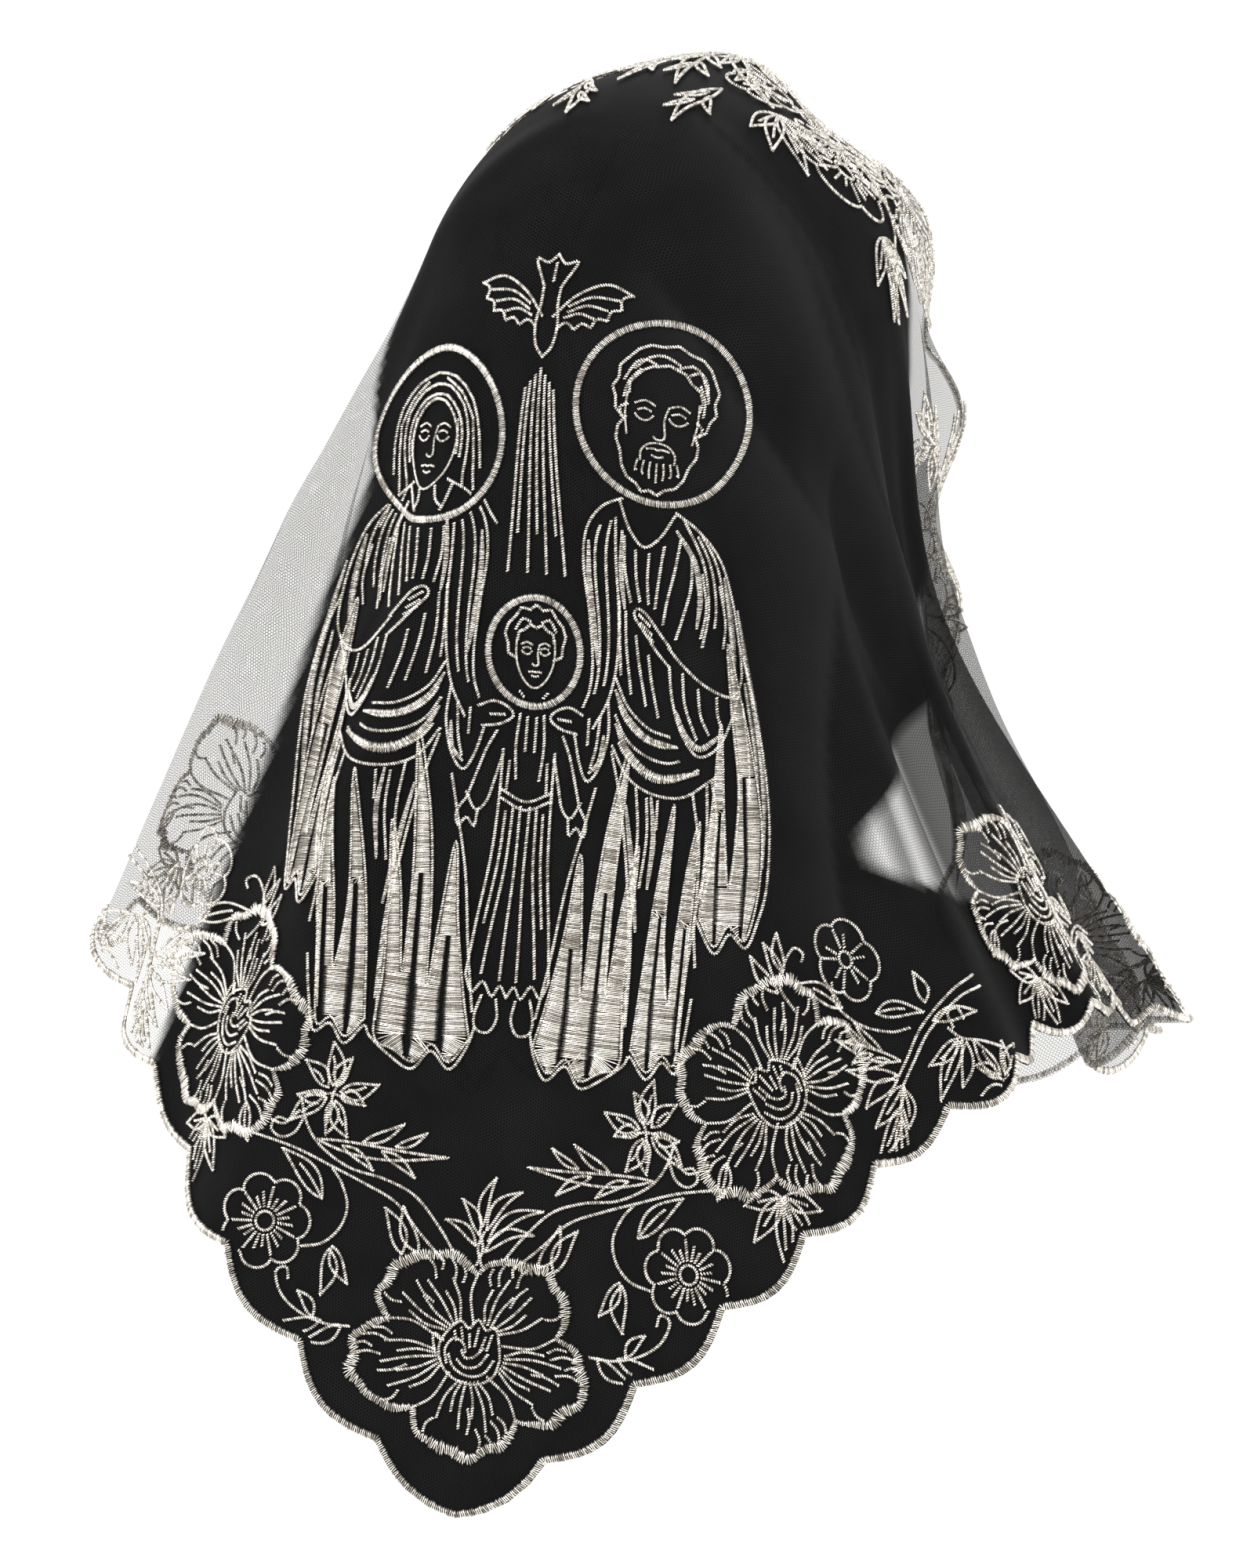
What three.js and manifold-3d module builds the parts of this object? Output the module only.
// A mantilla veil as it is worn: a rounded, pointed cut of net that lies over the
// crown of the head, falls to the shoulders and ends in a point down the back.
// Millimetres, +Z up. The origin is the inside of the crown, where the head carries
// the veil. -Y is towards the face and +X towards the wearer's left. The head is
// turned to the wearer's right over the shoulders, so the shoulders, and the folds
// that they spread, stand turned about the head.
//
// The cloth is worked out from its flat cut. A point of the flat cut has "across"
// (to the wearer's left) and "back" (from the front edge towards the back point).
// drape() carries such a point to its place in space: rays leave the crown, lie on
// the head as far as its rim, and then fall through two rings of chosen places.

import * as THREE from "three";
import { ConvexHull } from "three/addons/math/ConvexHull.js";
import { mergeVertices } from "three/addons/utils/BufferGeometryUtils.js";
import Module from "manifold-3d";

const wasm = await Module();
wasm.setup();

// The flat cut
const FRONT_HALF = 480; // half of the straight front edge
const BACK_DEPTH = 622; // front edge to the back point
const CROWN_INSET = 75; // front edge to the place that lies on the crown
const SCALLOP_PITCH = 45; // cusp to cusp along an edge
const SCALLOP_DEPTH = 8; // how far a scallop swells past its cusps
const POINT_SCALLOP = 76; // width of the larger scallop at the back point

// Thicknesses
const NET_WALL = 1; // the net
const EDGING_WIDTH = 3.2; // the satin-stitched edging that follows the scallops
const EDGING_THICKNESS = 1.2;
const MOTIF_THICKNESS = 0.8; // embroidered motifs that stand on the net
const SEAT_GAP = 0.4; // clearance between the net and what is stitched on it

// The head that carries the veil
const HEAD_SIDE = 94; // crown axis to the side of the hair
const HEAD_BACK = 104; // crown axis to the back of the head
const HEAD_FRONT = 98; // crown axis to the forehead
const HEAD_RISE = 112; // height of the dome above its widest level
const RIM_TILT = 64; // degrees round the dome where the cloth leaves the head
const RIM_REACH = 115; // cloth between the crown and that rim
const HEAD_TURN = 25; // degrees the head is turned to the right

// The fall of the cloth
const SHOULDER_HALF = 200; // neck axis to the shoulder that spreads the veil
const BACK_BULGE = 150; // neck axis to the cloth over the shoulder blades
const NECK_REACH = 260; // cloth between the crown and the neck ring
const SHOULDER_REACH = 425; // cloth between the crown and the shoulder ring
const PLEAT_DEPTH = 24; // swing of the pleats in front of the shoulders
const NECK_PLEAT_SHARE = 0.45; // how much of that swing they have at the neck
const FOLD_DEPTH = 6; // swing of the soft folds down the back
const EDGE_LIFT = 15; // how far the front border stands off the hair
const EDGE_LIFT_BAND = 48; // width of the border that stands off

// Embroidery
const FLOWER_RADIUS = 50; // middle of a large flower to the tips of its petals
const FLOWER_INSET = 46; // cusps of an edge to the middle of a large flower
const POINT_FLOWER_INSET = 53; // the same at the back point
const FLOWER_PITCH = 200; // spacing of the large flowers along an edge
const OUTLINE_WIDTH = 5.5; // satin-stitched outline of a large flower
const PICTURE_HEIGHT = 276; // the embroidered group of figures
const PICTURE_FOOT = 462; // front edge to the foot of the group
const HALO_RADIUS = 33; // the halo of a grown figure
const CHILD_HALO_RADIUS = 21;
const HALO_WIDTH = 3;

const RADIANS = Math.PI / 180;

// The hem of the left half, from the back point to the corner, in shares of
// FRONT_HALF and BACK_DEPTH. The right half is its mirror.
const HEM = [
  { across: 0, back: 1 },
  { across: 0.05, back: 0.985 },
  { across: 0.11, back: 0.943 },
  { across: 0.28, back: 0.81 },
  { across: 0.48, back: 0.66 },
  { across: 0.67, back: 0.53 },
  { across: 0.85, back: 0.39 },
  { across: 0.97, back: 0.2 },
  { across: 1, back: 0 },
];

// Where each ray of cloth goes. "ray" is its direction in the flat cut, in degrees
// from the back, with the wearer's left positive, and "rim" its direction round the
// head. The places on the neck and shoulder rings are shares of SHOULDER_HALF to the
// wearer's left and of BACK_BULGE backwards, square with the shoulders.
const RAYS = [
  { ray: -180, rim: -180, neckSide: -0.21, neckBack: -0.7, sideways: -0.22, backwards: -0.78 },
  { ray: -125, rim: -133, neckSide: -0.45, neckBack: -0.62, sideways: -0.36, backwards: -0.86 },
  { ray: -107, rim: -122, neckSide: -0.5, neckBack: -0.46, sideways: -0.46, backwards: -0.8 },
  { ray: -100, rim: -117, neckSide: -0.5, neckBack: -0.36, sideways: -0.55, backwards: -0.7 },
  { ray: -80, rim: -101, neckSide: -0.49, neckBack: -0.1, sideways: -0.83, backwards: -0.26 },
  { ray: -58, rim: -80, neckSide: -0.47, neckBack: 0.15, sideways: -0.84, backwards: 0.12 },
  { ray: -45, rim: -65, neckSide: -0.43, neckBack: 0.42, sideways: -0.78, backwards: 0.48 },
  { ray: -32, rim: -48, neckSide: -0.31, neckBack: 0.69, sideways: -0.61, backwards: 0.86 },
  { ray: -16, rim: -24, neckSide: -0.05, neckBack: 0.82, sideways: -0.2, backwards: 1.1 },
  { ray: 0, rim: 0, neckSide: 0.23, neckBack: 0.75, sideways: 0.31, backwards: 0.98 },
  { ray: 12, rim: 18, neckSide: 0.47, neckBack: 0.6, sideways: 0.71, backwards: 0.78 },
  { ray: 22, rim: 32, neckSide: 0.62, neckBack: 0.37, sideways: 0.93, backwards: 0.43 },
  { ray: 28, rim: 41, neckSide: 0.68, neckBack: 0.19, sideways: 1.0, backwards: 0.18 },
  { ray: 34, rim: 50, neckSide: 0.76, neckBack: 0.03, sideways: 1.1, backwards: 0.01 },
  { ray: 48, rim: 68, neckSide: 0.68, neckBack: -0.24, sideways: 0.88, backwards: -0.3 },
  { ray: 75, rim: 98, neckSide: 0.42, neckBack: -0.54, sideways: 0.55, backwards: -0.63 },
  { ray: 100, rim: 117, neckSide: 0.19, neckBack: -0.7, sideways: 0.2, backwards: -0.82 },
  { ray: 107, rim: 122, neckSide: 0.14, neckBack: -0.73, sideways: 0.13, backwards: -0.84 },
  { ray: 125, rim: 133, neckSide: 0.0, neckBack: -0.74, sideways: 0.0, backwards: -0.84 },
  { ray: 180, rim: 180, neckSide: -0.21, neckBack: -0.7, sideways: -0.22, backwards: -0.78 },
];

// Runs of folds, between two rays: how many, and their share of the named depth.
const PLEATS = [
  { from: 36, to: 100, count: 3.5, share: 0.9 },
  { from: -62, to: -100, count: 2, share: 0.9 },
];
const SOFT_FOLDS = [
  { from: -12, to: -60, count: 3, share: 1 },
  { from: 8, to: 30, count: 1.5, share: 0.7 },
];

// A smooth curve through the rows of a table: Hermite pieces whose slope at each
// row is that of its neighbours.
function through(rows, key, x, value) {
  let i = 0;
  while (i < rows.length - 2 && x > rows[i + 1][key]) i += 1;
  const slope = (k) => {
    const a = rows[Math.max(k - 1, 0)];
    const b = rows[Math.min(k + 1, rows.length - 1)];
    return (b[value] - a[value]) / (b[key] - a[key]);
  };
  const span = rows[i + 1][key] - rows[i][key];
  const t = (x - rows[i][key]) / span;
  return (
    rows[i][value] * (1 + 2 * t) * (1 - t) ** 2 +
    slope(i) * span * t * (1 - t) ** 2 +
    rows[i + 1][value] * t * t * (3 - 2 * t) +
    slope(i + 1) * span * t * t * (t - 1)
  );
}

const smooth = (t) => {
  const c = Math.min(Math.max(t, 0), 1);
  return c * c * (3 - 2 * c);
};

// The swing of a run of folds at a ray, from -1 to 1, fading at the run's ends.
function swing(runs, ray) {
  let sum = 0;
  for (const run of runs) {
    const t = (ray - run.from) / (run.to - run.from);
    if (t <= 0 || t >= 1) continue;
    const fade = Math.min(1, 5 * t, 5 * (1 - t));
    sum += run.share * fade * Math.sin(2 * Math.PI * run.count * t);
  }
  return sum;
}

// The place on the head, from the crown (share 0) to the rim (share 1).
function onHead(ray, rim, share) {
  const turn = (ray + (rim - ray) * smooth(share)) * RADIANS;
  const tilt = RIM_TILT * RADIANS * share;
  const lengthwise = Math.cos(turn) > 0 ? HEAD_BACK : HEAD_FRONT;
  return new THREE.Vector3(
    HEAD_SIDE * Math.sin(turn) * Math.sin(tilt),
    lengthwise * Math.cos(turn) * Math.sin(tilt),
    NET_WALL / 2 - HEAD_RISE * (1 - Math.cos(tilt)),
  );
}

// The place on a ring of the falling cloth, "reach" of cloth below the place above.
function onRing(sideways, backwards, above, reach) {
  const turn = HEAD_TURN * RADIANS;
  const place = new THREE.Vector3(
    sideways * Math.cos(turn) - backwards * Math.sin(turn),
    sideways * Math.sin(turn) + backwards * Math.cos(turn),
    0,
  );
  const aside = Math.hypot(place.x - above.x, place.y - above.y);
  place.z = above.z - Math.sqrt(Math.max(reach ** 2 - aside ** 2, (reach / 4) ** 2));
  return place;
}

// Ring places of one ray, with the folds swung square to the ring.
function ringPlaces(ray) {
  const ring = (side, back) => ({
    side: SHOULDER_HALF * through(RAYS, "ray", ray, side),
    back: BACK_BULGE * through(RAYS, "ray", ray, back),
  });
  const swung = (side, back, depth) => {
    const here = ring(side, back);
    const step = 4; // degrees between the two rays that give the ring's direction
    const a = (r) => through(RAYS, "ray", r, side) * SHOULDER_HALF;
    const b = (r) => through(RAYS, "ray", r, back) * BACK_BULGE;
    const along = new THREE.Vector2(
      a(Math.min(ray + step, 180)) - a(Math.max(ray - step, -180)),
      b(Math.min(ray + step, 180)) - b(Math.max(ray - step, -180)),
    ).normalize();
    return [here.side - along.y * depth, here.back + along.x * depth];
  };
  const pleat = PLEAT_DEPTH * swing(PLEATS, ray);
  const fold = FOLD_DEPTH * swing(SOFT_FOLDS, ray);
  const rim = onHead(ray, through(RAYS, "ray", ray, "rim"), 1);
  const neck = onRing(
    ...swung("neckSide", "neckBack", NECK_PLEAT_SHARE * pleat + fold),
    rim,
    NECK_REACH - RIM_REACH,
  );
  const shoulder = onRing(
    ...swung("sideways", "backwards", pleat + fold),
    neck,
    SHOULDER_REACH - NECK_REACH,
  );
  return { rim, neck, shoulder };
}

// Hermite piece between two places with given slopes.
function between(a, b, slopeA, slopeB, span, t) {
  return new THREE.Vector3()
    .addScaledVector(a, (1 + 2 * t) * (1 - t) ** 2)
    .addScaledVector(slopeA, span * t * (1 - t) ** 2)
    .addScaledVector(b, t * t * (3 - 2 * t))
    .addScaledVector(slopeB, span * t * t * (t - 1));
}

// A point of the flat cut, carried to its place in space.
function drape(across, back) {
  const ray = Math.atan2(across, back - CROWN_INSET) / RADIANS;
  const reach = Math.hypot(across, back - CROWN_INSET);
  const rimTurn = through(RAYS, "ray", ray, "rim");
  let place;
  if (reach <= RIM_REACH) {
    place = onHead(ray, rimTurn, reach / RIM_REACH);
  } else {
    const { rim, neck, shoulder } = ringPlaces(ray);
    const short = 0.02; // share of the dome that gives its slope at the rim
    const rimSlope = rim
      .clone()
      .sub(onHead(ray, rimTurn, 1 - short))
      .divideScalar(short * RIM_REACH);
    const neckSlope = shoulder
      .clone()
      .sub(rim)
      .divideScalar(SHOULDER_REACH - RIM_REACH);
    const endSlope = shoulder
      .clone()
      .sub(neck)
      .divideScalar(SHOULDER_REACH - NECK_REACH);
    if (reach <= NECK_REACH) {
      const span = NECK_REACH - RIM_REACH;
      place = between(rim, neck, rimSlope, neckSlope, span, (reach - RIM_REACH) / span);
    } else if (reach <= SHOULDER_REACH) {
      const span = SHOULDER_REACH - NECK_REACH;
      place = between(neck, shoulder, neckSlope, endSlope, span, (reach - NECK_REACH) / span);
    } else {
      place = shoulder.clone().addScaledVector(endSlope, reach - SHOULDER_REACH);
    }
  }
  // The front border stands off the hair in waves, a wave to two scallops.
  const nearEdge = Math.exp(-((back / EDGE_LIFT_BAND) ** 2));
  const wave = 0.55 + 0.45 * Math.cos((Math.PI * across) / SCALLOP_PITCH + 0.6);
  const outwards = new THREE.Vector3(place.x, place.y, 0.8 * HEAD_RISE + 0.4 * place.z);
  place.addScaledVector(outwards.normalize(), EDGE_LIFT * nearEdge * wave);
  return place;
}

// The direction that faces out of the cloth at a point of the flat cut.
function facing(across, back) {
  const step = 2;
  const alongAcross = drape(across + step, back).sub(drape(across - step, back));
  const alongBack = drape(across, back + step).sub(drape(across, back - step));
  return alongBack.cross(alongAcross).negate().normalize();
}

// The plain line of an edge of the left half, without its scallops, as a list of
// points a millimetre or so apart with the length run so far.
function edgeLine(points) {
  let run = 0;
  return points.map((point, i) => {
    if (i) run += point.distanceTo(points[i - 1]);
    return { run, across: point.x, back: point.y };
  });
}

const hemLine = edgeLine(
  new THREE.SplineCurve(
    HEM.map((row) => new THREE.Vector2(row.across * FRONT_HALF, row.back * BACK_DEPTH)),
  ).getPoints(800),
);
const hemLength = hemLine[hemLine.length - 1].run;
const frontLine = edgeLine([
  new THREE.Vector2(FRONT_HALF, 0),
  new THREE.Vector2(0, 0),
]);

// The point at a length along a line, moved towards the inside of the cloth.
function onLine(line, run, inset) {
  let i = 0;
  while (i < line.length - 2 && run > line[i + 1].run) i += 1;
  const [a, b] = [line[i], line[i + 1]];
  const t = (run - a.run) / (b.run - a.run);
  const along = new THREE.Vector2(b.across - a.across, b.back - a.back).normalize();
  return new THREE.Vector2(
    a.across + (b.across - a.across) * t + along.y * inset,
    a.back + (b.back - a.back) * t - along.x * inset,
  );
}

// Points along a line with a swell between each two cusps. The last cusp is left to
// the line that follows.
function scallops(line, cusps, samples, first = 0) {
  const points = [];
  for (let k = 0; k + 1 < cusps.length; k += 1)
    for (let j = k ? 0 : first; j < samples; j += 1) {
      const t = j / samples;
      const run = cusps[k] + (cusps[k + 1] - cusps[k]) * t;
      points.push(onLine(line, run, -SCALLOP_DEPTH * Math.sin(Math.PI * t)));
    }
  return points;
}

const evenCusps = (from, to, pitch) => {
  const count = Math.max(2, Math.round((to - from) / pitch));
  return Array.from({ length: count + 1 }, (_, k) => from + ((to - from) * k) / count);
};

// The scalloped outline of the whole cut, from the back point round by the left. The
// scallop at the back point and the middle one in front are shared by both halves,
// so each half starts and ends in the middle of one.
function outline(samples) {
  const half = POINT_SCALLOP / 2;
  const hemCusps = [-half, ...evenCusps(half, hemLength, SCALLOP_PITCH)];
  const frontCusps = evenCusps(0, FRONT_HALF - SCALLOP_PITCH / 2, SCALLOP_PITCH);
  frontCusps.push(FRONT_HALF + SCALLOP_PITCH / 2);
  const left = [
    ...scallops(hemLine, hemCusps, samples, samples / 2),
    ...scallops(frontLine, frontCusps, samples).slice(0, -(samples / 2) + 1),
  ];
  left[0].x = 0;
  left[left.length - 1].x = 0;
  const right = left
    .slice(1, -1)
    .reverse()
    .map((point) => new THREE.Vector2(-point.x, point.y));
  return [...left, ...right];
}

// The grid of the cloth: how finely it follows the scallops and the folds.
const SCALLOP_SAMPLES = 4;
const RING_STEP = 35; // spacing of the grid along a ray
const RAY_STEP = 20; // spacing of the grid from ray to ray
const GRID_MARGIN = 8; // how far the inner points stay from the edging

// Triangles that join points of the flat cut as evenly as they can be joined. Lifted
// on a bowl, the points span a hull, and its lower faces are those triangles.
function joinEvenly(points) {
  const lifted = points.map(
    (point) => new THREE.Vector3(point.x, point.y, point.lengthSq() / BACK_DEPTH),
  );
  const order = new Map(lifted.map((point, i) => [point, i]));
  const triangles = [];
  for (const face of new ConvexHull().setFromPoints(lifted).faces) {
    if (face.normal.z >= 0) continue;
    const corners = [];
    let edge = face.edge;
    do {
      corners.push(order.get(edge.head().point));
      edge = edge.next;
    } while (edge !== face.edge);
    triangles.push(corners);
  }
  return triangles;
}

function isInside(point, loop) {
  let inside = false;
  loop.forEach((a, i) => {
    const b = loop[(i + 1) % loop.length];
    const crosses = a.y > point.y !== b.y > point.y;
    if (crosses && point.x < a.x + ((b.x - a.x) * (point.y - a.y)) / (b.y - a.y))
      inside = !inside;
  });
  return inside;
}

function distanceTo(loop, point) {
  let nearest = Infinity;
  loop.forEach((a, i) => {
    const along = loop[(i + 1) % loop.length].clone().sub(a);
    const t = Math.min(Math.max(point.clone().sub(a).dot(along) / along.lengthSq(), 0), 1);
    nearest = Math.min(nearest, point.distanceTo(a.clone().addScaledVector(along, t)));
  });
  return nearest;
}

// A loop moved inwards, square to it at each of its points.
function inset(loop, distance) {
  const turn = Math.sign(THREE.ShapeUtils.area(loop));
  return loop.map((point, i) => {
    const before = point.clone().sub(loop[(i + loop.length - 1) % loop.length]).normalize();
    const after = loop[(i + 1) % loop.length].clone().sub(point).normalize();
    const along = before.clone().add(after).normalize();
    const stretch = 1 / Math.max(along.dot(after), 0.6);
    return point
      .clone()
      .add(new THREE.Vector2(-along.y, along.x).multiplyScalar(turn * distance * stretch));
  });
}

// The grid that all the cloth shares: places in space, directions out of the cloth,
// and triangles, with those under the edging kept apart.
function clothGrid() {
  const edge = outline(SCALLOP_SAMPLES);
  const inner = inset(edge, EDGING_WIDTH);
  const crown = new THREE.Vector2(0, CROWN_INSET);
  const flat = [...inner, crown];
  let ring = 1;
  for (let reach = RAY_STEP; reach < BACK_DEPTH; reach += RING_STEP) {
    const count = Math.round((2 * Math.PI * reach) / RAY_STEP);
    for (let k = 0; k < count; k += 1) {
      const angle = (2 * Math.PI * (k + 0.5 * (ring % 2))) / count + 0.003 * ring;
      const point = crown
        .clone()
        .add(new THREE.Vector2(Math.sin(angle), Math.cos(angle)).multiplyScalar(reach));
      if (isInside(point, inner) && distanceTo(inner, point) > GRID_MARGIN) flat.push(point);
    }
    ring += 1;
  }
  const turn = Math.sign(THREE.ShapeUtils.area(inner));
  const triangles = [];
  for (const corners of joinEvenly(flat)) {
    const [a, b, c] = corners.map((i) => flat[i]);
    const middle = a.clone().add(b).add(c).divideScalar(3);
    const area = THREE.ShapeUtils.area([a, b, c]);
    if (Math.abs(area) < 1e-6 || !isInside(middle, inner)) continue;
    triangles.push(area * turn > 0 ? corners : [corners[0], corners[2], corners[1]]);
  }
  const innerLoop = inner.map((_, i) => i);
  const outerLoop = edge.map((_, i) => flat.length + i);
  flat.push(...edge);
  const band = [];
  innerLoop.forEach((a, i) => {
    const next = (i + 1) % edge.length;
    band.push([a, outerLoop[i], outerLoop[next]], [a, outerLoop[next], innerLoop[next]]);
  });
  const places = flat.map((point) => drape(point.x, point.y));
  const normals = flat.map((point) => facing(point.x, point.y));
  return { places, normals, triangles, band, innerLoop, outerLoop };
}

const grid = clothGrid();

// A closed geometry between two distances from the middle of the cloth, over some of
// the grid's triangles, with the given loops of its edge closed.
function sheet(triangles, loops, low, high) {
  const used = [...new Set(triangles.flat())];
  const renumber = new Map(used.map((old, i) => [old, i]));
  const positions = [];
  for (const distance of [low, high])
    for (const i of used)
      positions.push(...grid.places[i].clone().addScaledVector(grid.normals[i], distance));
  const top = used.length;
  const index = [];
  for (const corners of triangles) {
    const [a, b, c] = corners.map((i) => renumber.get(i));
    index.push(a, b, c, top + a, top + c, top + b);
  }
  for (const loop of loops)
    loop.forEach((old, i) => {
      const a = renumber.get(old);
      const b = renumber.get(loop[(i + 1) % loop.length]);
      index.push(a, top + a, b, b, top + a, top + b);
    });
  const geometry = new THREE.BufferGeometry();
  geometry.setAttribute("position", new THREE.Float32BufferAttribute(positions, 3));
  geometry.setIndex(index);
  return faceOutwards(geometry);
}

// Turns a closed geometry so that its faces point out of it.
function faceOutwards(geometry) {
  const p = geometry.attributes.position;
  const index = geometry.index.array;
  const [a, b, c] = [0, 1, 2].map(() => new THREE.Vector3());
  let volume = 0;
  for (let i = 0; i < index.length; i += 3) {
    a.fromBufferAttribute(p, index[i]);
    b.fromBufferAttribute(p, index[i + 1]);
    c.fromBufferAttribute(p, index[i + 2]);
    volume += a.dot(b.cross(c));
  }
  if (volume < 0)
    for (let i = 0; i < index.length; i += 3)
      [index[i + 1], index[i + 2]] = [index[i + 2], index[i + 1]];
  return geometry;
}

function toSolid(geometry) {
  const plain = new THREE.BufferGeometry();
  plain.setAttribute("position", geometry.attributes.position);
  plain.setIndex(geometry.index);
  const merged = mergeVertices(plain, 1e-4);
  return new wasm.Manifold(
    new wasm.Mesh({
      numProp: 3,
      vertProperties: new Float32Array(merged.attributes.position.array),
      triVerts: new Uint32Array(merged.index.array),
    }),
  );
}

function toGeometry(solid) {
  const mesh = solid.getMesh();
  const geometry = new THREE.BufferGeometry();
  const positions = [];
  for (let i = 0; i < mesh.numVert; i += 1)
    for (let k = 0; k < 3; k += 1)
      positions.push(mesh.vertProperties[i * mesh.numProp + k]);
  geometry.setAttribute("position", new THREE.Float32BufferAttribute(positions, 3));
  geometry.setIndex(Array.from(mesh.triVerts));
  return geometry;
}

const netOuter = NET_WALL / 2 + SEAT_GAP;

const SMOOTHING = 0.15; // how far the embroidery's facets may stray from the net's

// The layer that the embroidery is cut from: it lies on the whole net inside the
// edging.
const layer = toSolid(
  sheet(grid.triangles, [grid.innerLoop], netOuter, netOuter + MOTIF_THICKNESS),
);

// A wall square to the cloth round a loop of the flat cut, closed above and below.
function wallRound(loop) {
  const reachOut = 5; // how far the wall stands on each side of the cloth
  const points = THREE.ShapeUtils.isClockWise(loop) ? [...loop].reverse() : loop;
  const positions = [];
  for (const side of [-1, 1])
    for (const { x, y } of points)
      positions.push(...drape(x, y).addScaledVector(facing(x, y), side * reachOut));
  const count = points.length;
  const index = [];
  for (const [a, b, c] of THREE.ShapeUtils.triangulateShape([...points], []))
    index.push(a, b, c, count + a, count + c, count + b);
  points.forEach((_, a) => {
    const b = (a + 1) % count;
    index.push(a, count + a, b, b, count + a, count + b);
  });
  const wall = new THREE.BufferGeometry();
  wall.setAttribute("position", new THREE.Float32BufferAttribute(positions, 3));
  wall.setIndex(index);
  return toSolid(faceOutwards(wall));
}

// The part of the layer inside a loop, or only a border of the given width.
function motif(loop, width = 0) {
  let solid = layer.intersect(wallRound(loop));
  if (width) solid = solid.subtract(wallRound(inset(loop, width)));
  const bodies = solid.simplify(SMOOTHING).decompose();
  bodies.sort((a, b) => b.volume() - a.volume());
  return toGeometry(bodies[0]);
}

// A five-petalled flower, a little wider than it is deep, and a ring.
function flower(middle, turn) {
  const samples = 20;
  return Array.from({ length: samples }, (_, k) => {
    const angle = (2 * Math.PI * k) / samples;
    const petal = 0.72 + 0.28 * Math.abs(Math.cos(2.5 * angle)) ** 0.7;
    const spot = new THREE.Vector2(Math.sin(angle), 0.8 * Math.cos(angle));
    return spot
      .multiplyScalar(FLOWER_RADIUS * petal)
      .rotateAround(new THREE.Vector2(), turn)
      .add(middle);
  });
}

function circle(middle, radius) {
  const samples = 14;
  return Array.from({ length: samples }, (_, k) => {
    const angle = (2 * Math.PI * k) / samples;
    return new THREE.Vector2(Math.sin(angle), Math.cos(angle))
      .multiplyScalar(radius)
      .add(middle);
  });
}

// The group of figures is drawn in shares of its height: x from the middle line
// towards the wearer's right and y up from the foot.
const inPicture = (x, y) =>
  new THREE.Vector2(-x * PICTURE_HEIGHT, PICTURE_FOOT - y * PICTURE_HEIGHT);

const HALOS = [
  { name: "man_halo", x: 0.165, y: 0.855, radius: HALO_RADIUS },
  { name: "woman_halo", x: -0.165, y: 0.8, radius: HALO_RADIUS },
  { name: "child_halo", x: 0, y: 0.52, radius: CHILD_HALO_RADIUS },
];

// The satin-filled folds at the foot of the robes, drawn for the right-hand robe.
const ROBE_FOLDS = [
  {
    name: "inner_robe_fold",
    outline: [
      { x: 0.047, y: 0.014 }, { x: 0.072, y: -0.018 }, { x: 0.098, y: 0.004 },
      { x: 0.12, y: -0.022 }, { x: 0.149, y: -0.007 }, { x: 0.178, y: 0.011 },
      { x: 0.174, y: 0.109 }, { x: 0.185, y: 0.29 }, { x: 0.163, y: 0.203 },
      { x: 0.149, y: 0.094 }, { x: 0.149, y: 0.217 }, { x: 0.159, y: 0.406 },
      { x: 0.134, y: 0.312 }, { x: 0.12, y: 0.196 }, { x: 0.112, y: 0.08 },
      { x: 0.105, y: 0.167 }, { x: 0.094, y: 0.268 }, { x: 0.08, y: 0.167 },
      { x: 0.062, y: 0.072 },
    ],
  },
  {
    name: "middle_robe_fold",
    outline: [
      { x: 0.192, y: 0.029 }, { x: 0.217, y: 0.004 }, { x: 0.239, y: 0.029 },
      { x: 0.257, y: 0.018 }, { x: 0.264, y: 0.087 }, { x: 0.272, y: 0.188 },
      { x: 0.283, y: 0.341 }, { x: 0.264, y: 0.275 }, { x: 0.25, y: 0.181 },
      { x: 0.243, y: 0.094 }, { x: 0.232, y: 0.188 }, { x: 0.239, y: 0.355 },
      { x: 0.217, y: 0.246 }, { x: 0.203, y: 0.138 },
    ],
  },
  {
    name: "outer_robe_fold",
    outline: [
      { x: 0.286, y: 0.217 }, { x: 0.312, y: 0.185 }, { x: 0.333, y: 0.217 },
      { x: 0.359, y: 0.203 }, { x: 0.377, y: 0.275 }, { x: 0.377, y: 0.362 },
      { x: 0.359, y: 0.449 }, { x: 0.33, y: 0.529 }, { x: 0.304, y: 0.587 },
      { x: 0.319, y: 0.5 }, { x: 0.337, y: 0.406 }, { x: 0.337, y: 0.319 },
      { x: 0.33, y: 0.268 }, { x: 0.319, y: 0.355 }, { x: 0.304, y: 0.478 },
      { x: 0.301, y: 0.384 }, { x: 0.293, y: 0.29 },
    ],
  },
];

const netMaterial = new THREE.MeshStandardMaterial({
  name: "black_net",
  color: 0x0b0b0c,
  roughness: 0.85,
  metalness: 0,
  side: THREE.DoubleSide,
});
const threadMaterial = new THREE.MeshStandardMaterial({
  name: "silver_thread",
  color: 0xc9c2b6,
  roughness: 0.35,
  metalness: 0.8,
});

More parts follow.
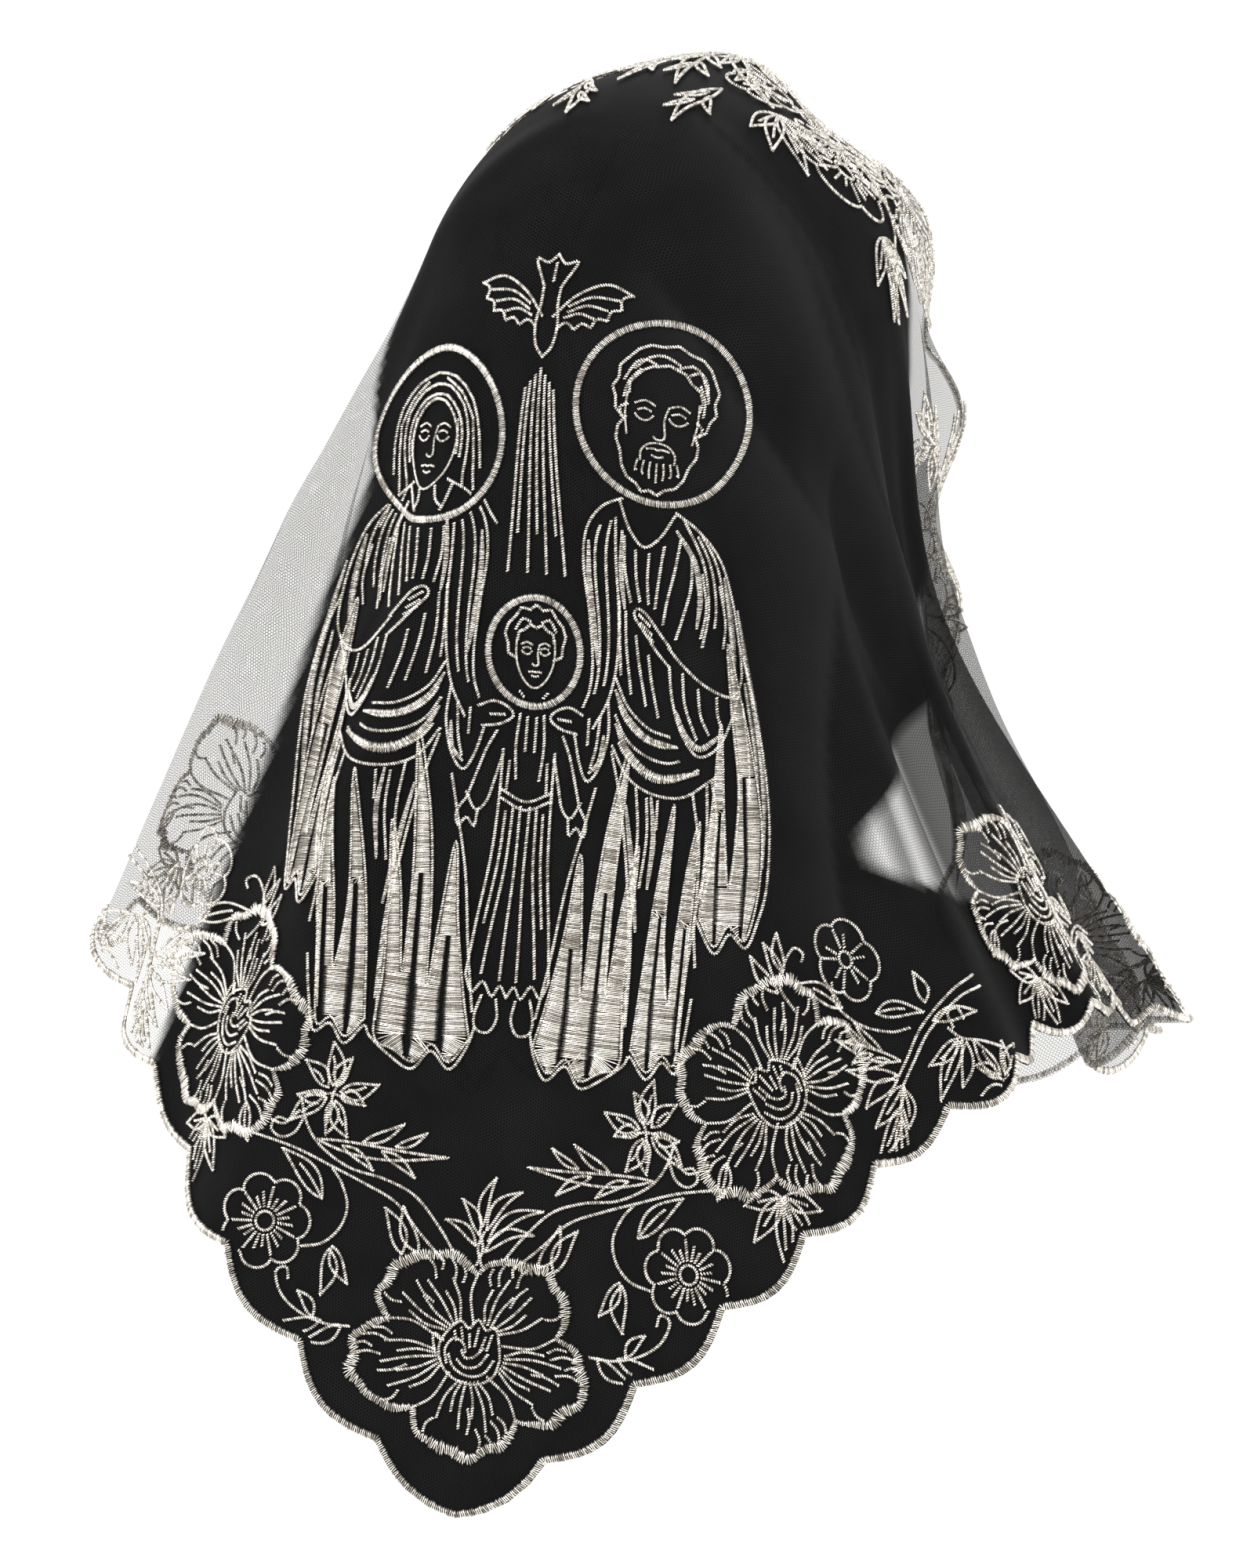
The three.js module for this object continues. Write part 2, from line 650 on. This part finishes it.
const veil = new THREE.Group();
function add(name, geometry, material) {
  const mesh = new THREE.Mesh(geometry, material);
  mesh.name = name;
  veil.add(mesh);
}

// The net itself, one piece of cloth.
add(
  "net_veil",
  sheet([...grid.triangles, ...grid.band], [grid.outerLoop], -NET_WALL / 2, NET_WALL / 2),
  netMaterial,
);

// The satin-stitched edging, all round on the outer face.
add(
  "scalloped_edging",
  sheet(
    grid.band,
    [[...grid.innerLoop].reverse(), grid.outerLoop],
    netOuter,
    netOuter + EDGING_THICKNESS,
  ),
  threadMaterial,
);

// The large flowers' outlines: one at the back point, and pairs along the hem, in the
// corners and along the front edge.
const SIDES = [
  { side: "left", sign: 1 },
  { side: "right", sign: -1 },
];
function pairOfFlowers(name, line, run, insetHere = FLOWER_INSET) {
  const middle = onLine(line, run, insetHere);
  const foot = onLine(line, run, 0);
  const turn = Math.atan2(foot.y - middle.y, foot.x - middle.x) - Math.PI / 2;
  for (const { side, sign } of SIDES) {
    const loop = flower(middle, turn).map((point) => new THREE.Vector2(sign * point.x, point.y));
    add(name + "_" + side, motif(loop, OUTLINE_WIDTH), threadMaterial);
  }
}

add(
  "back_point_flower",
  motif(flower(new THREE.Vector2(0, BACK_DEPTH - POINT_FLOWER_INSET), 0), OUTLINE_WIDTH),
  threadMaterial,
);
for (let k = 1; (k + 0.5) * FLOWER_PITCH < hemLength; k += 1)
  pairOfFlowers("hem_flower_" + k, hemLine, k * FLOWER_PITCH);
for (let k = 1; (k + 0.5) * FLOWER_PITCH < FRONT_HALF; k += 1)
  pairOfFlowers("front_flower_" + k, frontLine, FRONT_HALF - (k - 0.5) * FLOWER_PITCH);

// The halos and the filled folds of the figures down the back.
for (const { name, x, y, radius } of HALOS)
  add(name, motif(circle(inPicture(x, y), radius), HALO_WIDTH), threadMaterial);
for (const { name, outline: rows } of ROBE_FOLDS)
  for (const { side, sign } of SIDES) {
    const loop = rows.map(({ x, y }) => inPicture(-sign * x, y));
    add(name + "_" + side, motif(loop), threadMaterial);
  }

export default veil;
